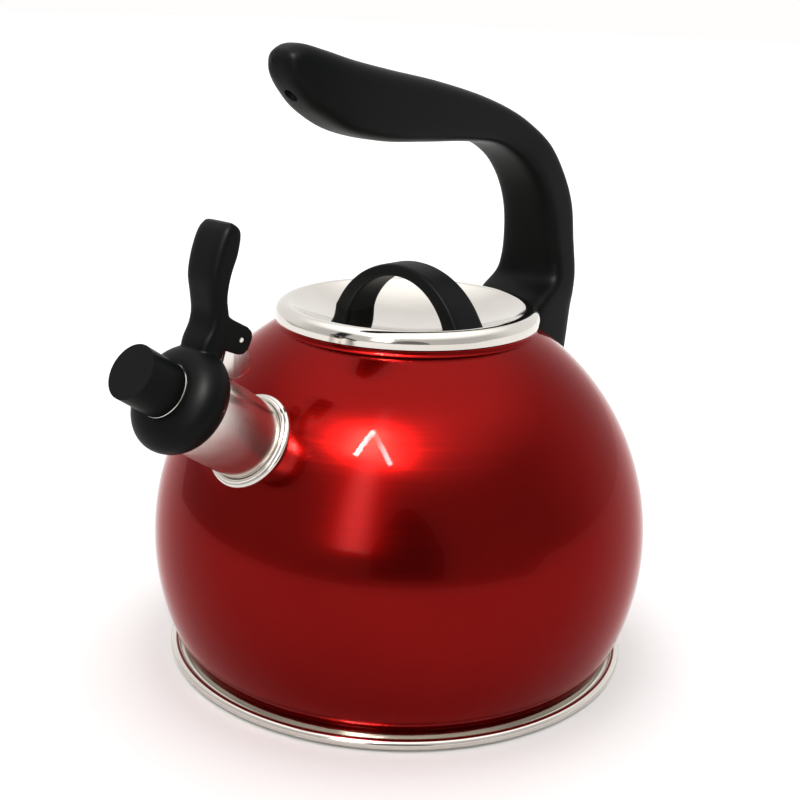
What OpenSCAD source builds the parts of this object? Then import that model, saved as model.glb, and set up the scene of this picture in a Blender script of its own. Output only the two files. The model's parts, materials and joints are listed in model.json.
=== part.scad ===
// Stovetop whistling kettle: a steel pot with a ball-shaped shell, a slanted spout closed by a
// hinged whistle cap, a lift-off lid, and a handle that reaches over the lid from one foot.
// The origin is on the kettle's axis, at the underside of the base. The spout points along -X,
// the handle's foot stands at +X, and +Z is up. All sizes are in millimetres.

/* [Body] */
// Largest diameter of the shell
body_d = 200; // [190:1:210]
// Height of the widest point above the underside
belly_z = 50; // [48:0.5:52]
// Wall of the drawn steel pieces
wall = 0.8; // [0.6:0.1:1]
// Diameter of the base bead
base_d = 188.8; // [186:0.2:194]
// Thickness of the encapsulated base, up to the shell's lower edge
base_h = 5.2; // [5:0.1:6]

/* [Lid] */
// Outer diameter of the lid's rolled rim
lid_d = 104.4; // [102:0.2:106]
// Height of the rim's crest
lid_crest_z = 144.8; // [144:0.2:146]
// Radius of the rim's roll
rim_roll = 4.2; // [3.8:0.1:4.4]
// Depth of the dish below the crest
dish_depth = 10.3; // [9:0.1:11]
// Radius of the throat that the lid's skirt drops into
throat_r = 44.2; // [43:0.1:44.5]
// Radius of the knob arch's outer face
knob_r = 36; // [35:0.5:37]
// Height of the knob's top
knob_top_z = 160.3; // [159:0.1:161]
// Width of the knob's strap at its feet
knob_w = 16; // [12:1:18]
// Width of the knob's strap at its top
knob_top_w = 12; // [10:1:14]

/* [Spout and whistle] */
// Angle of the spout above the horizontal
spout_tilt = 34; // [32:1:36]
// Outer radius of the spout tube
spout_r = 15.2; // [14.8:0.1:15.4]
// Distance from the shell's centre to the spout's mouth
mouth_a = 134; // [133.6:0.1:134.2]
// Largest radius of the whistle cap
cap_r = 19.6; // [19:0.2:20.4]
// Radius of the whistle cup
cup_r = 9.9; // [9.7:0.1:10.2]
// Radius of the whistle's holes
whistle_hole_r = 1.7; // [1.2:0.1:2]

/* [Handle] */
// Radius of the hanging hole at the grip's tip
hang_r = 2.5; // [2:0.1:3]
// Width of the steel bar inside the handle
core_w = 12; // [10:1:13]
// Thickness of the steel bar inside the handle
core_t = 4; // [3:0.5:5]

/* [Hidden] */
$fn = 96;

steel = [0.80, 0.79, 0.76];
satin = [0.68, 0.67, 0.65];
red = [0.62, 0.04, 0.05];
black = [0.13, 0.14, 0.14];
silicone = [0.55, 0.56, 0.57];

body_r = body_d / 2;
eps = 0.01;

// Radius of a ball of radius r around the shell's centre, at the height z
function ball_r(r, z) = sqrt(r * r - (z - belly_z) * (z - belly_z));
// Points of an arc around c, from angle a0 to a1 in n steps
function arc(c, r, a0, a1, n) =
    [for (i = [0:n]) let(a = a0 + (a1 - a0) * i / n) c + r * [cos(a), sin(a)]];
// Points of an elliptical arc with the half axes h
function oval(c, h, a0, a1, n) =
    [for (i = [0:n]) let(a = a0 + (a1 - a0) * i / n) c + [h[0] * cos(a), h[1] * sin(a)]];

// Collar and throat of the neck
collar_r = 50.6;
collar_top = 138;
collar_foot = belly_z + sqrt(body_r * body_r - collar_r * collar_r);
throat_bottom = 127;

// Rolled rim and dish of the lid
rim_c = [lid_d / 2 - rim_roll, lid_crest_z - rim_roll];
rim_start = 115;
rim_end = -32;
dish_edge = rim_c + rim_roll * [cos(rim_start), sin(rim_start)];
dish_z = lid_crest_z - dish_depth;
dish_rise = dish_edge[1] - dish_z;
dish_r = (dish_edge[0] * dish_edge[0] + dish_rise * dish_rise) / (2 * dish_rise);
// Height of the dish's lower face at the radius r
function under_dish(r) = dish_z + dish_r - eps - sqrt(pow(dish_r + wall, 2) - r * r);
plug_r = throat_r - 0.6;
seat_gap = 0.05;

// Knob feet: where each screw passes the dish, and how far it leans inwards
knob_top_t = 4.8;
knob_inner_r = knob_r - 9.5;
foot_y = knob_r - 6.4;
foot_lean = asin(foot_y / dish_r);
knob_screw_r = 1.5;
knob_screw_l = 5;
washer_t = 0.6;
washer_r = 3.6;

// A place beside the spout, p above its axis and a along it, as [x, z]
function beside_spout(p, a) =
    [p * sin(spout_tilt) - a * cos(spout_tilt),
     belly_z + a * sin(spout_tilt) + p * cos(spout_tilt)];

// Whistle hinge, seen from the side: along the spout, and above its axis
pivot_a = 129.3;
pivot_p = 27.8;
pivot = beside_spout(pivot_p, pivot_a);
pin_r = 1.1;
pin_gap = 0.06;
ear_t = 0.9;
ear_y = 4.6;
cheek_y = 4.8;
cheek_t = 2.1;
boss_r = 3.2;
spring_wire = 0.35;
spring_r = pin_r + spring_wire + 0.35;
spring_turns = 5;
spring_pitch = 1;
spring_sides = 8;

// Whistle cap: places along the spout
cap_back = 130.5;
cap_wide = 137.2;
cap_front = 144.4;
web_a = 136;
cap_bore = spout_r + 0.4;
// How far the cap's outside and its cup stand above the spout's axis
cap_lift = 0.6;
// The gap between the cheeks, where the ears and the spring go: its front and its ends
slot_x = pivot[0] - 5.15;
slot_z = [pivot[1] - 15, pivot[1] + 7.2];

// Moves a shape drawn along +Z from the shell's centre onto the spout's axis
module along_spout() {
    translate([0, 0, belly_z])
        rotate([0, spout_tilt - 90, 0])
            children();
}

// The same for the whistle cap's own axis
module along_cap() {
    along_spout()
        translate([cap_lift, 0, 0])
            children();
}

// Extrudes an outline in the X-Z plane from y0 to y1
module slab(y0, y1) {
    translate([0, y1, 0])
        rotate([90, 0, 0])
            linear_extrude(height = y1 - y0)
                children();
}

// Lofts. A station is [inner x, inner z, outer x, outer z, width across Y, corner], where the
// corner is 1 for an oval section and nears 0 as the section's corners get square.
function between(a, b, c, d, u) =
    0.5 * (2 * b + (c - a) * u + (2 * a - 5 * b + 4 * c - d) * u * u
           + (3 * b - a - 3 * c + d) * u * u * u);
function smooth(s, n) =
    let(last = len(s) - 1)
    [for (i = [0:last - 1], k = [0:n - 1])
        between(s[max(i - 1, 0)], s[i], s[i + 1], s[min(i + 2, last)], k / n), s[last]];
function squared(v, power) = sign(v) * pow(abs(v), power);
function section(s, sides) =
    [for (j = [0:sides - 1])
        let(u = squared(cos(360 * j / sides), s[5]), v = squared(sin(360 * j / sides), s[5]))
        [(s[0] + s[2] + (s[2] - s[0]) * u) / 2, s[4] / 2 * v, (s[1] + s[3] + (s[3] - s[1]) * u) / 2]];
module loft(stations, sides) {
    rings = len(stations);
    points = [for (s = stations) each section(s, sides)];
    walls = [for (i = [0:rings - 2], j = [0:sides - 1])
        let(k = (j + 1) % sides, a = i * sides, b = a + sides)
        each [[a + j, b + k, b + j], [a + j, a + k, b + k]]];
    near_end = [for (j = [sides - 1:-1:0]) j];
    far_end = [for (j = [0:sides - 1]) (rings - 1) * sides + j];
    polyhedron(points = points, faces = concat(walls, [near_end, far_end]));
}

// The handle from its tip, over the lid and down to its foot
handle_stations = [
    [-69.3, 235, -69.4, 238, 7, 0.8], [-67.6, 230, -67.4, 240.6, 14, 0.75],
    [-62.8, 224.4, -62, 242.4, 18.5, 0.7], [-54.8, 218.4, -53, 240.6, 22, 0.6],
    [-41, 212, -38, 237, 24, 0.55], [-22, 208.2, -18, 233.4, 24.5, 0.55],
    [0, 207, 4, 229.8, 24.5, 0.55], [22, 206.3, 27, 224.8, 24, 0.5], [40, 204.4, 46, 219, 24, 0.48],
    [53, 198.8, 60.5, 212.4, 24.5, 0.45], [62.2, 191.5, 73.4, 203.6, 26, 0.42],
    [68.6, 182.8, 83.4, 191, 27, 0.4], [72.4, 173, 89.8, 178, 28, 0.4], [74.6, 161, 91.4, 163, 30, 0.4],
    [75.4, 152, 91.6, 152, 33, 0.4], [73.4, 146, 91, 146, 35, 0.4], [64.5, 140, 90.4, 140, 36.5, 0.4],
    [57.5, 133.8, 89.4, 133.8, 37, 0.4], [56.5, 120, 87.4, 120, 37.5, 0.4],
    [56.5, 104, 85, 104, 37.5, 0.4]];
// The whistle lever from its tip down to its root in the cap
lever_stations = [
    [-96.4, 185.2, -94.2, 185.4, 13, 0.6], [-99, 182.6, -91.2, 182.4, 16, 0.5],
    [-102, 176, -92.2, 175.6, 16.4, 0.45], [-103.9, 168, -95.2, 168, 15.8, 0.45],
    [-103.4, 161, -96.6, 161, 14.8, 0.45], [-103, 155.5, -96.2, 155.5, 14.8, 0.45],
    [-104.2, 151, -95.6, 151, 15, 0.45], [-107.4, 146, -96.2, 145, 15, 0.5],
    [-108.6, 141.5, -98.6, 139.8, 14.6, 0.6], [-107.8, 138, -100.2, 136.6, 13, 0.6]];
// The steel bar's middle line, from near the tip down to the bracket
core_line = [[-48, 223.8], [-30, 221.2], [-10, 218.8], [12, 216.8], [34, 212.8], [52, 206],
    [66, 196.5], [75.5, 184], [79.8, 172], [80.5, 160], [80.5, 146], [80.5, 116]];

function heading(line, i) =
    let(d = line[min(i + 1, len(line) - 1)] - line[max(i - 1, 0)]) d / norm(d);
function edge(line, side) =
    [for (i = [0:len(line) - 1]) let(h = heading(line, i)) line[i] + side * [-h[1], h[0]]];
module core_outline() {
    line = smooth(core_line, 4);
    left = edge(line, core_t / 2);
    right = edge(line, -core_t / 2);
    polygon(concat(left, [for (i = [len(right) - 1:-1:0]) right[i]]));
}

// The hanging hole slants from the underside of the tip up to its top
hang_low = [-63.6, 224];
hang_high = [-58.6, 241];

// Bracket post and handle screws
post_x = [73.5, 78.5];
post_w = 20;
post_top = 143;
bracket_pad = 1.5;
screw_z = [121, 134];
screw_r = 2;
screw_head_r = 3.8;
seat_web = 0.8;
screw_seat_x = core_line[len(core_line) - 1][0] + core_t / 2 + seat_web;

module body_shell() {
    color(red)
        difference() {
            rotate_extrude()
                difference() {
                    union() {
                        intersection() {
                            translate([0, belly_z])
                                circle(r = body_r);
                            translate([0, base_h])
                                square([body_r, collar_foot - base_h]);
                        }
                        translate([0, collar_foot])
                            square([collar_r, collar_top - collar_foot]);
                    }
                    translate([0, belly_z])
                        circle(r = body_r - wall);
                    square([collar_r - wall, collar_top + 1]);
                    translate([0, -body_r])
                        square([ball_r(body_r - wall, base_h), body_r + base_h]);
                }
            along_spout()
                cylinder(r = spout_r, h = 2 * body_r);
        }
}

module neck_ring() {
    color(steel)
        rotate_extrude() {
            translate([throat_r, throat_bottom])
                square([wall, collar_top - throat_bottom]);
            translate([throat_r, collar_top - wall])
                square([collar_r - wall - throat_r, wall]);
        }
}

module floor_pan() {
    color(steel)
        translate([0, 0, base_h])
            cylinder(r = ball_r(body_r - wall, base_h), h = wall, $fn = 180);
}

module heat_spreader() {
    spreader_r = ball_r(body_r, base_h) - 2.2;
    color("silver")
        translate([0, 0, wall])
            cylinder(r = spreader_r, h = base_h - wall, $fn = 180);
}

module base_cover() {
    bead_r = 2;
    bead_c = [base_d / 2 - bead_r, bead_r + 0.6];
    side_r = ball_r(body_r, base_h);
    color(steel)
        rotate_extrude($fn = 180) {
            square([side_r, wall]);
            translate([side_r - 1.4, 0])
                square([1.4, base_h]);
            polygon([[side_r - eps, 0], [bead_c[0], bead_c[1] - bead_r],
                     [bead_c[0], bead_c[1] + 0.8], [side_r - eps, bead_c[1] - 0.6]]);
            translate(bead_c)
                circle(r = bead_r, $fn = 40);
        }
}

module spout_flange() {
    foot_a = sqrt(body_r * body_r - spout_r * spout_r);
    color(steel)
        difference() {
            along_spout()
                rotate_extrude() {
                    translate([spout_r, foot_a - 2])
                        square([2, 2.8]);
                    translate([spout_r + 1.5, foot_a + 0.2])
                        circle(r = 1.3, $fn = 32);
                    translate([spout_r + 0.8, foot_a + 1.5])
                        circle(r = 0.8, $fn = 32);
                }
            translate([0, 0, belly_z])
                sphere(r = body_r, $fn = 180);
            along_spout()
                cylinder(r = spout_r, h = 2 * body_r);
        }
}

module spout_tube() {
    tail_a = body_r - 4;
    color(steel)
        along_spout()
            rotate_extrude()
                translate([spout_r - wall, tail_a])
                    square([wall, mouth_a - tail_a]);
}

module ear_outline() {
    polygon([[spout_r + 0.2, 129.6], [spout_r + 0.2, 122.5], [18.2, 119.5], [22.6, 117.6],
             [30.4, 127.4], [pivot_p, pivot_a], [24.2, 132]]);
    translate([pivot_p, pivot_a])
        circle(r = boss_r, $fn = 48);
}

module hinge_bracket() {
    color(steel)
        along_spout()
            difference() {
                union() {
                    intersection() {
                        difference() {
                            cylinder(r = spout_r + wall, h = 2 * body_r);
                            cylinder(r = spout_r, h = 2 * body_r);
                        }
                        translate([0, -ear_y, 122.5])
                            cube([spout_r * 2, 2 * ear_y, 7.1]);
                    }
                    for (side = [-1, 1])
                        rotate([90, 0, 0])
                            translate([0, 0, side * (ear_y - ear_t / 2) - ear_t / 2])
                                linear_extrude(height = ear_t)
                                    ear_outline();
                }
                cylinder(r = spout_r, h = 2 * body_r);
                translate([pivot_p, 0, pivot_a])
                    rotate([90, 0, 0])
                        cylinder(r = pin_r, h = 40, center = true, $fn = 48);
            }
}

module hinge_pin() {
    pin_l = 2 * (cheek_y + cheek_t) + 0.8;
    color(steel)
        translate([pivot[0], 0, pivot[1]])
            rotate([90, 0, 0])
                cylinder(r = pin_r, h = pin_l, center = true, $fn = 48);
}

// Torsion spring: a coil round the pin, one leg down on the bracket, one up on the lever
function coil_point(t) = let(a = 360 * t)
    [spring_r * cos(a), spring_pitch * (t - spring_turns / 2), spring_r * sin(a)];
spring_line = concat(
    [[spring_r, -spring_pitch * spring_turns / 2, -6.5]],
    [for (i = [0:16 * (spring_turns + 0.25)]) coil_point(i / 16)],
    [[-4.6, spring_pitch * (spring_turns / 2 + 0.3), spring_r],
     [-4.75, spring_pitch * (spring_turns / 2 + 0.3), 4.6]]);
module tube_along(line, r, sides) {
    n = len(line);
    points = [for (i = [0:n - 1])
        let(d = line[min(i + 1, n - 1)] - line[max(i - 1, 0)], t = d / norm(d),
            u0 = cross(t, [0, 1, 0.001]), u = u0 / norm(u0), v = cross(t, u))
        each [for (j = [0:sides - 1]) line[i] + r * (cos(360 * j / sides) * u + sin(360 * j / sides) * v)]];
    walls = [for (i = [0:n - 2], j = [0:sides - 1])
        let(k = (j + 1) % sides, a = i * sides, b = a + sides)
        each [[a + j, b + j, b + k], [a + j, b + k, a + k]]];
    near_end = [for (j = [0:sides - 1]) j];
    far_end = [for (j = [sides - 1:-1:0]) (n - 1) * sides + j];
    polyhedron(points = points, faces = concat(walls, [near_end, far_end]));
}
module return_spring() {
    color(satin)
        translate([pivot[0], 0, pivot[1]])
            tube_along(spring_line, spring_wire, spring_sides);
}

module handle_bracket() {
    color(satin)
        difference() {
            union() {
                intersection() {
                    translate([0, 0, belly_z])
                        sphere(r = body_r + bracket_pad, $fn = 180);
                    translate([post_x[0] - 3, -post_w / 2, 100])
                        cube([10, post_w, 20]);
                }
                translate([post_x[0], -post_w / 2, 105])
                    cube([post_x[1] - post_x[0], post_w, post_top - 105]);
            }
            translate([0, 0, belly_z])
                sphere(r = body_r, $fn = 180);
            for (z = screw_z)
                translate([0, 0, z])
                    rotate([0, 90, 0])
                        cylinder(r = screw_r, h = 2 * body_r, $fn = 48);
        }
}

module handle_core() {
    color(satin)
        difference() {
            slab(-core_w / 2, core_w / 2)
                core_outline();
            for (z = screw_z)
                translate([0, 0, z])
                    rotate([0, 90, 0])
                        cylinder(r = screw_r, h = 2 * body_r, $fn = 48);
        }
}

module handle_grip() {
    color(black)
        difference() {
            loft(smooth(handle_stations, 3), 28);
            translate([0, 0, belly_z])
                sphere(r = body_r, $fn = 180);
            slab(-core_w / 2, core_w / 2)
                core_outline();
            translate([post_x[0] - 3, -post_w / 2 - 0.5, 90])
                cube([screw_seat_x - seat_web - post_x[0] + 3, post_w + 1, post_top - 90]);
            for (z = screw_z)
                translate([0, 0, z])
                    rotate([0, 90, 0]) {
                        cylinder(r = screw_r, h = 2 * body_r, $fn = 48);
                        translate([0, 0, screw_seat_x])
                            cylinder(r = screw_head_r, h = 20, $fn = 48);
                    }
            hang_hole();
        }
}

module hang_hole() {
    lean = atan2(hang_high[0] - hang_low[0], hang_high[1] - hang_low[1]);
    translate([hang_low[0], 0, hang_low[1]])
        rotate([0, lean, 0])
            translate([0, 0, -20])
                cylinder(r = hang_r, h = 60, $fn = 48);
}

module handle_screws() {
    color(steel)
        for (z = screw_z)
            translate([post_x[0], 0, z])
                rotate([0, 90, 0]) {
                    cylinder(r = screw_r, h = screw_seat_x - post_x[0], $fn = 48);
                    translate([0, 0, screw_seat_x - post_x[0]])
                        difference() {
                            cylinder(r = screw_head_r - 0.2, h = 2, $fn = 48);
                            translate([0, 0, 0.8])
                                cylinder(r = 1.6, h = 2, $fn = 6);
                        }
                }
}

module lid_section() {
    dish_a = asin(dish_edge[0] / dish_r);
    dish_c = [0, dish_z + dish_r];
    polygon(concat(
        arc(dish_c, dish_r, 270, 270 + dish_a, 24),
        arc(rim_c, rim_roll, rim_start, rim_end, 28),
        arc(rim_c, rim_roll - wall, rim_end, rim_start, 28),
        arc(dish_c, dish_r + wall, 270 + dish_a, 270, 24)));
}

module lid_shell() {
    color(steel)
        difference() {
            rotate_extrude()
                lid_section();
            at_knob_feet()
                cylinder(r = knob_screw_r, h = 30, center = true, $fn = 48);
        }
}

module lid_plug() {
    skirt_bottom = throat_bottom + 2;
    ledge_z = collar_top + seat_gap;
    color(steel)
        rotate_extrude() {
            polygon([[plug_r - wall, skirt_bottom], [plug_r, skirt_bottom],
                     [plug_r, under_dish(plug_r)], [plug_r - wall, under_dish(plug_r - wall)]]);
            translate([plug_r - eps, ledge_z])
                square([3, wall]);
            translate([plug_r - 0.2, skirt_bottom + 2.4])
                circle(r = 0.6, $fn = 24);
        }
}

// Puts a shape on the dish where each foot of the knob stands, square to the dish
module at_knob_feet() {
    for (side = [-1, 1])
        translate([0, 0, dish_z + dish_r])
            rotate([side * foot_lean, 0, 0])
                translate([0, 0, -dish_r])
                    children();
}

module lid_knob() {
    foot_z = dish_z;
    outer_c = [0, knob_top_z - knob_r];
    inner_c = [0, knob_top_z - knob_top_t - knob_inner_r];
    taper = [(knob_w - knob_top_w) / 2, knob_top_z - foot_z + eps];
    cut_r = 46;
    cut_a = asin(cut_r / dish_r);
    color(black)
        difference() {
            intersection() {
                translate([-knob_w / 2, 0, 0])
                    rotate([90, 0, 90])
                        linear_extrude(height = knob_w)
                            difference() {
                                polygon(arc(outer_c, knob_r, 0, 180, 64));
                                polygon(arc(inner_c, knob_inner_r, 0, 180, 64));
                                translate([-knob_inner_r, 0])
                                    square([2 * knob_inner_r, inner_c[1] + eps]);
                            }
                slab(-knob_r, knob_r)
                    polygon(concat(
                        oval([knob_top_w / 2, foot_z], taper, 0, 90, 24),
                        oval([-knob_top_w / 2, foot_z], taper, 90, 180, 24)));
            }
            rotate_extrude()
                polygon(concat([[0, foot_z - 20], [cut_r, foot_z - 20]],
                    arc([0, dish_z + dish_r], dish_r, 270 + cut_a, 270, 24)));
            at_knob_feet()
                cylinder(r = knob_screw_r, h = knob_screw_l, $fn = 48);
        }
}

module lid_screws() {
    head_h = 1.6;
    color(steel)
        at_knob_feet() {
            translate([0, 0, -wall - washer_t])
                cylinder(r = knob_screw_r, h = knob_screw_l + wall + washer_t, $fn = 48);
            translate([0, 0, -wall - washer_t - head_h])
                cylinder(r = 2.8, h = head_h, $fn = 48);
        }
}

module lid_washers() {
    color(satin)
        at_knob_feet()
            translate([0, 0, -wall - washer_t])
                difference() {
                    cylinder(r = washer_r, h = washer_t, $fn = 48);
                    translate([0, 0, -1])
                        cylinder(r = knob_screw_r, h = 3, $fn = 48);
                }
}

// Rings of the cap's outside, [radius, place along the spout], from the front to the back
function cap_rings() =
    let(front_h = [10.6, 7.4], back_h = [7, 8.5],
        front_a = asin((cap_front - cap_wide) / front_h[1]),
        back_a = asin((cap_back - cap_wide) / back_h[1]))
    concat(oval([cap_r - front_h[0], cap_wide], front_h, front_a, 0, 10),
           oval([cap_r - back_h[0], cap_wide], back_h, back_a / 8, back_a, 7));

module cheek_outline() {
    polygon([[-97.2, 154.2], [-92.6, 151.4], [-88.6, 149.2], [-87, 147.2], [-87, 145.4], [-89, 141.6],
             [-91, 140.4], [-93.4, 140.6], [-97.6, 142.4], [-101.5, 144.6], [-101, 152]]);
}

module whistle_cap() {
    color(black)
        difference() {
            union() {
                along_cap()
                    loft([for (p = cap_rings()) [-p[0], p[1], p[0], p[1], 2 * p[0], 1]], 60);
                loft(smooth(lever_stations, 3), 20);
                for (y = [cheek_y - 1, -cheek_y - cheek_t])
                    slab(y, y + cheek_t + 1)
                        cheek_outline();
            }
            translate([slot_x, -cheek_y, slot_z[0]])
                cube([20, 2 * cheek_y, slot_z[1] - slot_z[0]]);
            translate([pivot[0], 0, pivot[1]])
                rotate([90, 0, 0])
                    cylinder(r = pin_r + pin_gap, h = 40, center = true, $fn = 48);
            along_spout()
                cylinder(r = cap_bore, h = web_a);
            along_cap()
                cylinder(r = cup_r, h = 2 * body_r);
        }
}

module whistle_seal() {
    color(silicone)
        along_spout()
            rotate_extrude()
                translate([cup_r + 1.2, mouth_a + 0.3])
                    square([cap_bore - cup_r - 1.4, web_a - mouth_a - 0.3]);
}

module whistle_cup() {
    cup_wall = 0.5;
    roll_r = 0.6;
    cup_back = 138.4;
    color(steel)
        along_cap()
            rotate_extrude() {
                translate([cup_r - cup_wall, cup_back])
                    square([cup_wall, cap_front - cup_back]);
                translate([cup_r - roll_r, cap_front])
                    circle(r = roll_r, $fn = 32);
            }
}

// A pressed disc across the cup: a flat edge, and a raised middle with the whistle's hole
module whistle_disc(a, raise) {
    disc_r = cup_r - 0.5;
    middle_r = 7.2;
    disc_t = 0.6;
    color(satin)
        along_cap()
            translate([0, 0, a])
                difference() {
                    union() {
                        cylinder(r = disc_r, h = disc_t, $fn = 72);
                        cylinder(r = middle_r, h = disc_t + raise, $fn = 72);
                        cylinder(r = whistle_hole_r + 0.9, h = disc_t + 1.4 * raise, $fn = 48);
                    }
                    translate([0, 0, -1])
                        cylinder(r = whistle_hole_r, h = 4, $fn = 48);
                    translate([0, 0, -disc_t])
                        cylinder(r = middle_r - disc_t, h = raise + disc_t, $fn = 72);
                }
}

module whistle_front_plate() {
    whistle_disc(143.15, 0.5);
}

module whistle_rear_plate() {
    whistle_disc(139, 0.3);
}

body_shell();
neck_ring();
floor_pan();
heat_spreader();
base_cover();
spout_flange();
spout_tube();
hinge_bracket();
hinge_pin();
return_spring();
handle_bracket();
handle_core();
handle_grip();
handle_screws();
lid_shell();
lid_plug();
lid_knob();
lid_screws();
lid_washers();
whistle_cap();
whistle_seal();
whistle_cup();
whistle_front_plate();
whistle_rear_plate();
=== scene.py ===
"""Stovetop whistling kettle: detailed pieces, materials, light and camera around the CAD frame."""

import json
import math

import bmesh
import bpy
from mathutils import Matrix, Vector


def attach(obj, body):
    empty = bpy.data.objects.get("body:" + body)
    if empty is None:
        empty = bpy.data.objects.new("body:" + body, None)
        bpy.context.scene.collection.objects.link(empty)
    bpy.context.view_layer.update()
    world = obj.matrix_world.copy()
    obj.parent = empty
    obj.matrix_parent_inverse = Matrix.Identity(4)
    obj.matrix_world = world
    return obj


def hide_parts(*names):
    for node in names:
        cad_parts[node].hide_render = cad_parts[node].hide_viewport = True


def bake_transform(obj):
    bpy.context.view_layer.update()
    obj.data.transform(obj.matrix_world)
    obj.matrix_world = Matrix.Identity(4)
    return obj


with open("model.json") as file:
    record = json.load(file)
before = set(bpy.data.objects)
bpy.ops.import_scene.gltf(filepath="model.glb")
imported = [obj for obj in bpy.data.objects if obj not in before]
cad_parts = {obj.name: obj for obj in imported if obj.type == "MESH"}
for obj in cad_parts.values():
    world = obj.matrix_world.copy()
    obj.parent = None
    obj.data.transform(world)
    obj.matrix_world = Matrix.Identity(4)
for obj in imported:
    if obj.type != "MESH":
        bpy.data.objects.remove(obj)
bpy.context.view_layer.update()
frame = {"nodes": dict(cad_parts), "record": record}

MM = 0.001
scene = bpy.context.scene
nodes = frame["nodes"]

# ---------------------------------------------------------------- sizes, in millimetres
BODY_R, BELLY_Z, WALL = 100.0, 50.0, 0.8
BASE_D, BASE_H = 188.8, 5.2
COLLAR_R, COLLAR_TOP, THROAT_R, THROAT_BOTTOM = 50.6, 138.0, 44.2, 127.0
LID_D, CREST_Z, ROLL_R, DISH_DEPTH = 104.4, 144.8, 4.2, 10.3
KNOB_R, KNOB_TOP, KNOB_T, KNOB_W, KNOB_TOP_W = 36.0, 160.3, 4.8, 16.0, 12.0
TILT, SPOUT_R, MOUTH_A, CUP_R, HOLE_R = 34.0, 15.2, 134.0, 9.9, 1.7
CAP_R, CAP_BACK, CAP_WIDE, CAP_FRONT, WEB_A, CAP_BORE = 19.6, 130.5, 137.2, 144.4, 136.0, 15.6
PIVOT_P, PIVOT_A, PIN_R = 27.8, 129.3, 1.1
CAP_LIFT = 0.6
EAR_Y, EAR_T, CHEEK_Y, CHEEK_T = 4.6, 0.9, 4.8, 2.1

ROLL_C = (LID_D / 2 - ROLL_R, CREST_Z - ROLL_R)
DISH_Z = CREST_Z - DISH_DEPTH
ROLL_START = math.radians(115)
DISH_EDGE = (ROLL_C[0] + ROLL_R * math.cos(ROLL_START), ROLL_C[1] + ROLL_R * math.sin(ROLL_START))
DISH_RISE = DISH_EDGE[1] - DISH_Z
DISH_R = (DISH_EDGE[0] ** 2 + DISH_RISE ** 2) / (2 * DISH_RISE)


def dish_at(r):
    """Height of the lid's dish at the radius r."""
    return DISH_Z + DISH_R - math.sqrt(DISH_R * DISH_R - r * r)


def ball_r(radius, z):
    """Radius of the shell's ball at the height z."""
    return math.sqrt(radius * radius - (z - BELLY_Z) ** 2)


def beside_spout(p, a):
    """The place p above the spout's axis and a along it, as x and z."""
    t = math.radians(TILT)
    return (p * math.sin(t) - a * math.cos(t), BELLY_Z + a * math.sin(t) + p * math.cos(t))


# How bright the studio's ceiling and the darker room in front are, where the sweep is 1
CEILING_LEVEL, ROOM_LEVEL = 1.9, 0.68
LAMP_TINT = (1, 0.97, 0.95)
# Degrees from +X round to the side that the kettle is seen from
FRONT_TURN = -138.6

PIVOT = beside_spout(PIVOT_P, PIVOT_A)
ALONG_SPOUT = Matrix.Translation((0, 0, BELLY_Z)) @ Matrix.Rotation(math.radians(TILT - 90), 4, "Y")
ALONG_CAP = ALONG_SPOUT @ Matrix.Translation((CAP_LIFT, 0, 0))
ALONG_PIN = Matrix.Translation((PIVOT[0], 0, PIVOT[1])) @ Matrix.Rotation(math.radians(90), 4, "X")


# ---------------------------------------------------------------- camera and light
def make_camera():
    """The viewing angle of the photograph."""
    data = bpy.data.cameras.new("camera")
    data.sensor_width = 36
    data.lens = 58.96
    data.shift_x, data.shift_y = -0.0206, 0.0416
    data.clip_start, data.clip_end = 0.02, 20
    camera = bpy.data.objects.new("camera", data)
    right, up, back = (0.67, -0.7414, 0.0386), (0.206, 0.2356, 0.9498), (-0.7132, -0.6284, 0.3106)
    turn = Matrix((right, up, back)).transposed().to_4x4()
    camera.matrix_world = Matrix.Translation((-0.3762, -0.3387, 0.2560)) @ turn
    scene.collection.objects.link(camera)
    scene.camera = camera


def node_tree(material):
    material.use_nodes = True
    tree = material.node_tree
    tree.nodes.clear()
    return tree


def add(tree, kind, **values):
    """Adds a node; names with a space in them are sockets, given with underscores."""
    node = tree.nodes.new(kind)
    for name, value in values.items():
        if hasattr(node, name):
            setattr(node, name, value)
        else:
            node.inputs[name.replace("_", " ")].default_value = value
    return node


def emitter(name, place, target, size, strength, turn):
    """A soft box that only glossy reflections see, turned in its own plane."""
    data = bpy.data.lights.new(name, "AREA")
    data.shape = "RECTANGLE"
    data.size, data.size_y = size
    data.energy = strength
    data.color = LAMP_TINT
    lamp = bpy.data.objects.new(name, data)
    lamp.location = place
    lamp.rotation_euler = (Vector(target) - Vector(place)).to_track_quat("-Z", "Y").to_euler()
    lamp.rotation_euler.rotate_axis("Z", math.radians(turn))
    lamp.visible_camera = False
    lamp.visible_diffuse = False
    scene.collection.objects.link(lamp)


def from_front(azimuth, elevation, distance):
    """A place seen from the kettle, with azimuth 0 straight towards the camera's side."""
    turn, rise = math.radians(azimuth + FRONT_TURN), math.radians(elevation)
    return (distance * math.cos(rise) * math.cos(turn), distance * math.cos(rise) * math.sin(turn),
            0.1 + distance * math.sin(rise))


def stage_card(name, mesh, look):
    """Puts a card in the scene that only reflections see."""
    mesh.materials.append(look)
    made = bpy.data.objects.new(name, mesh)
    made.visible_camera = False
    made.visible_shadow = False
    made.visible_diffuse = False
    scene.collection.objects.link(made)


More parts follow.
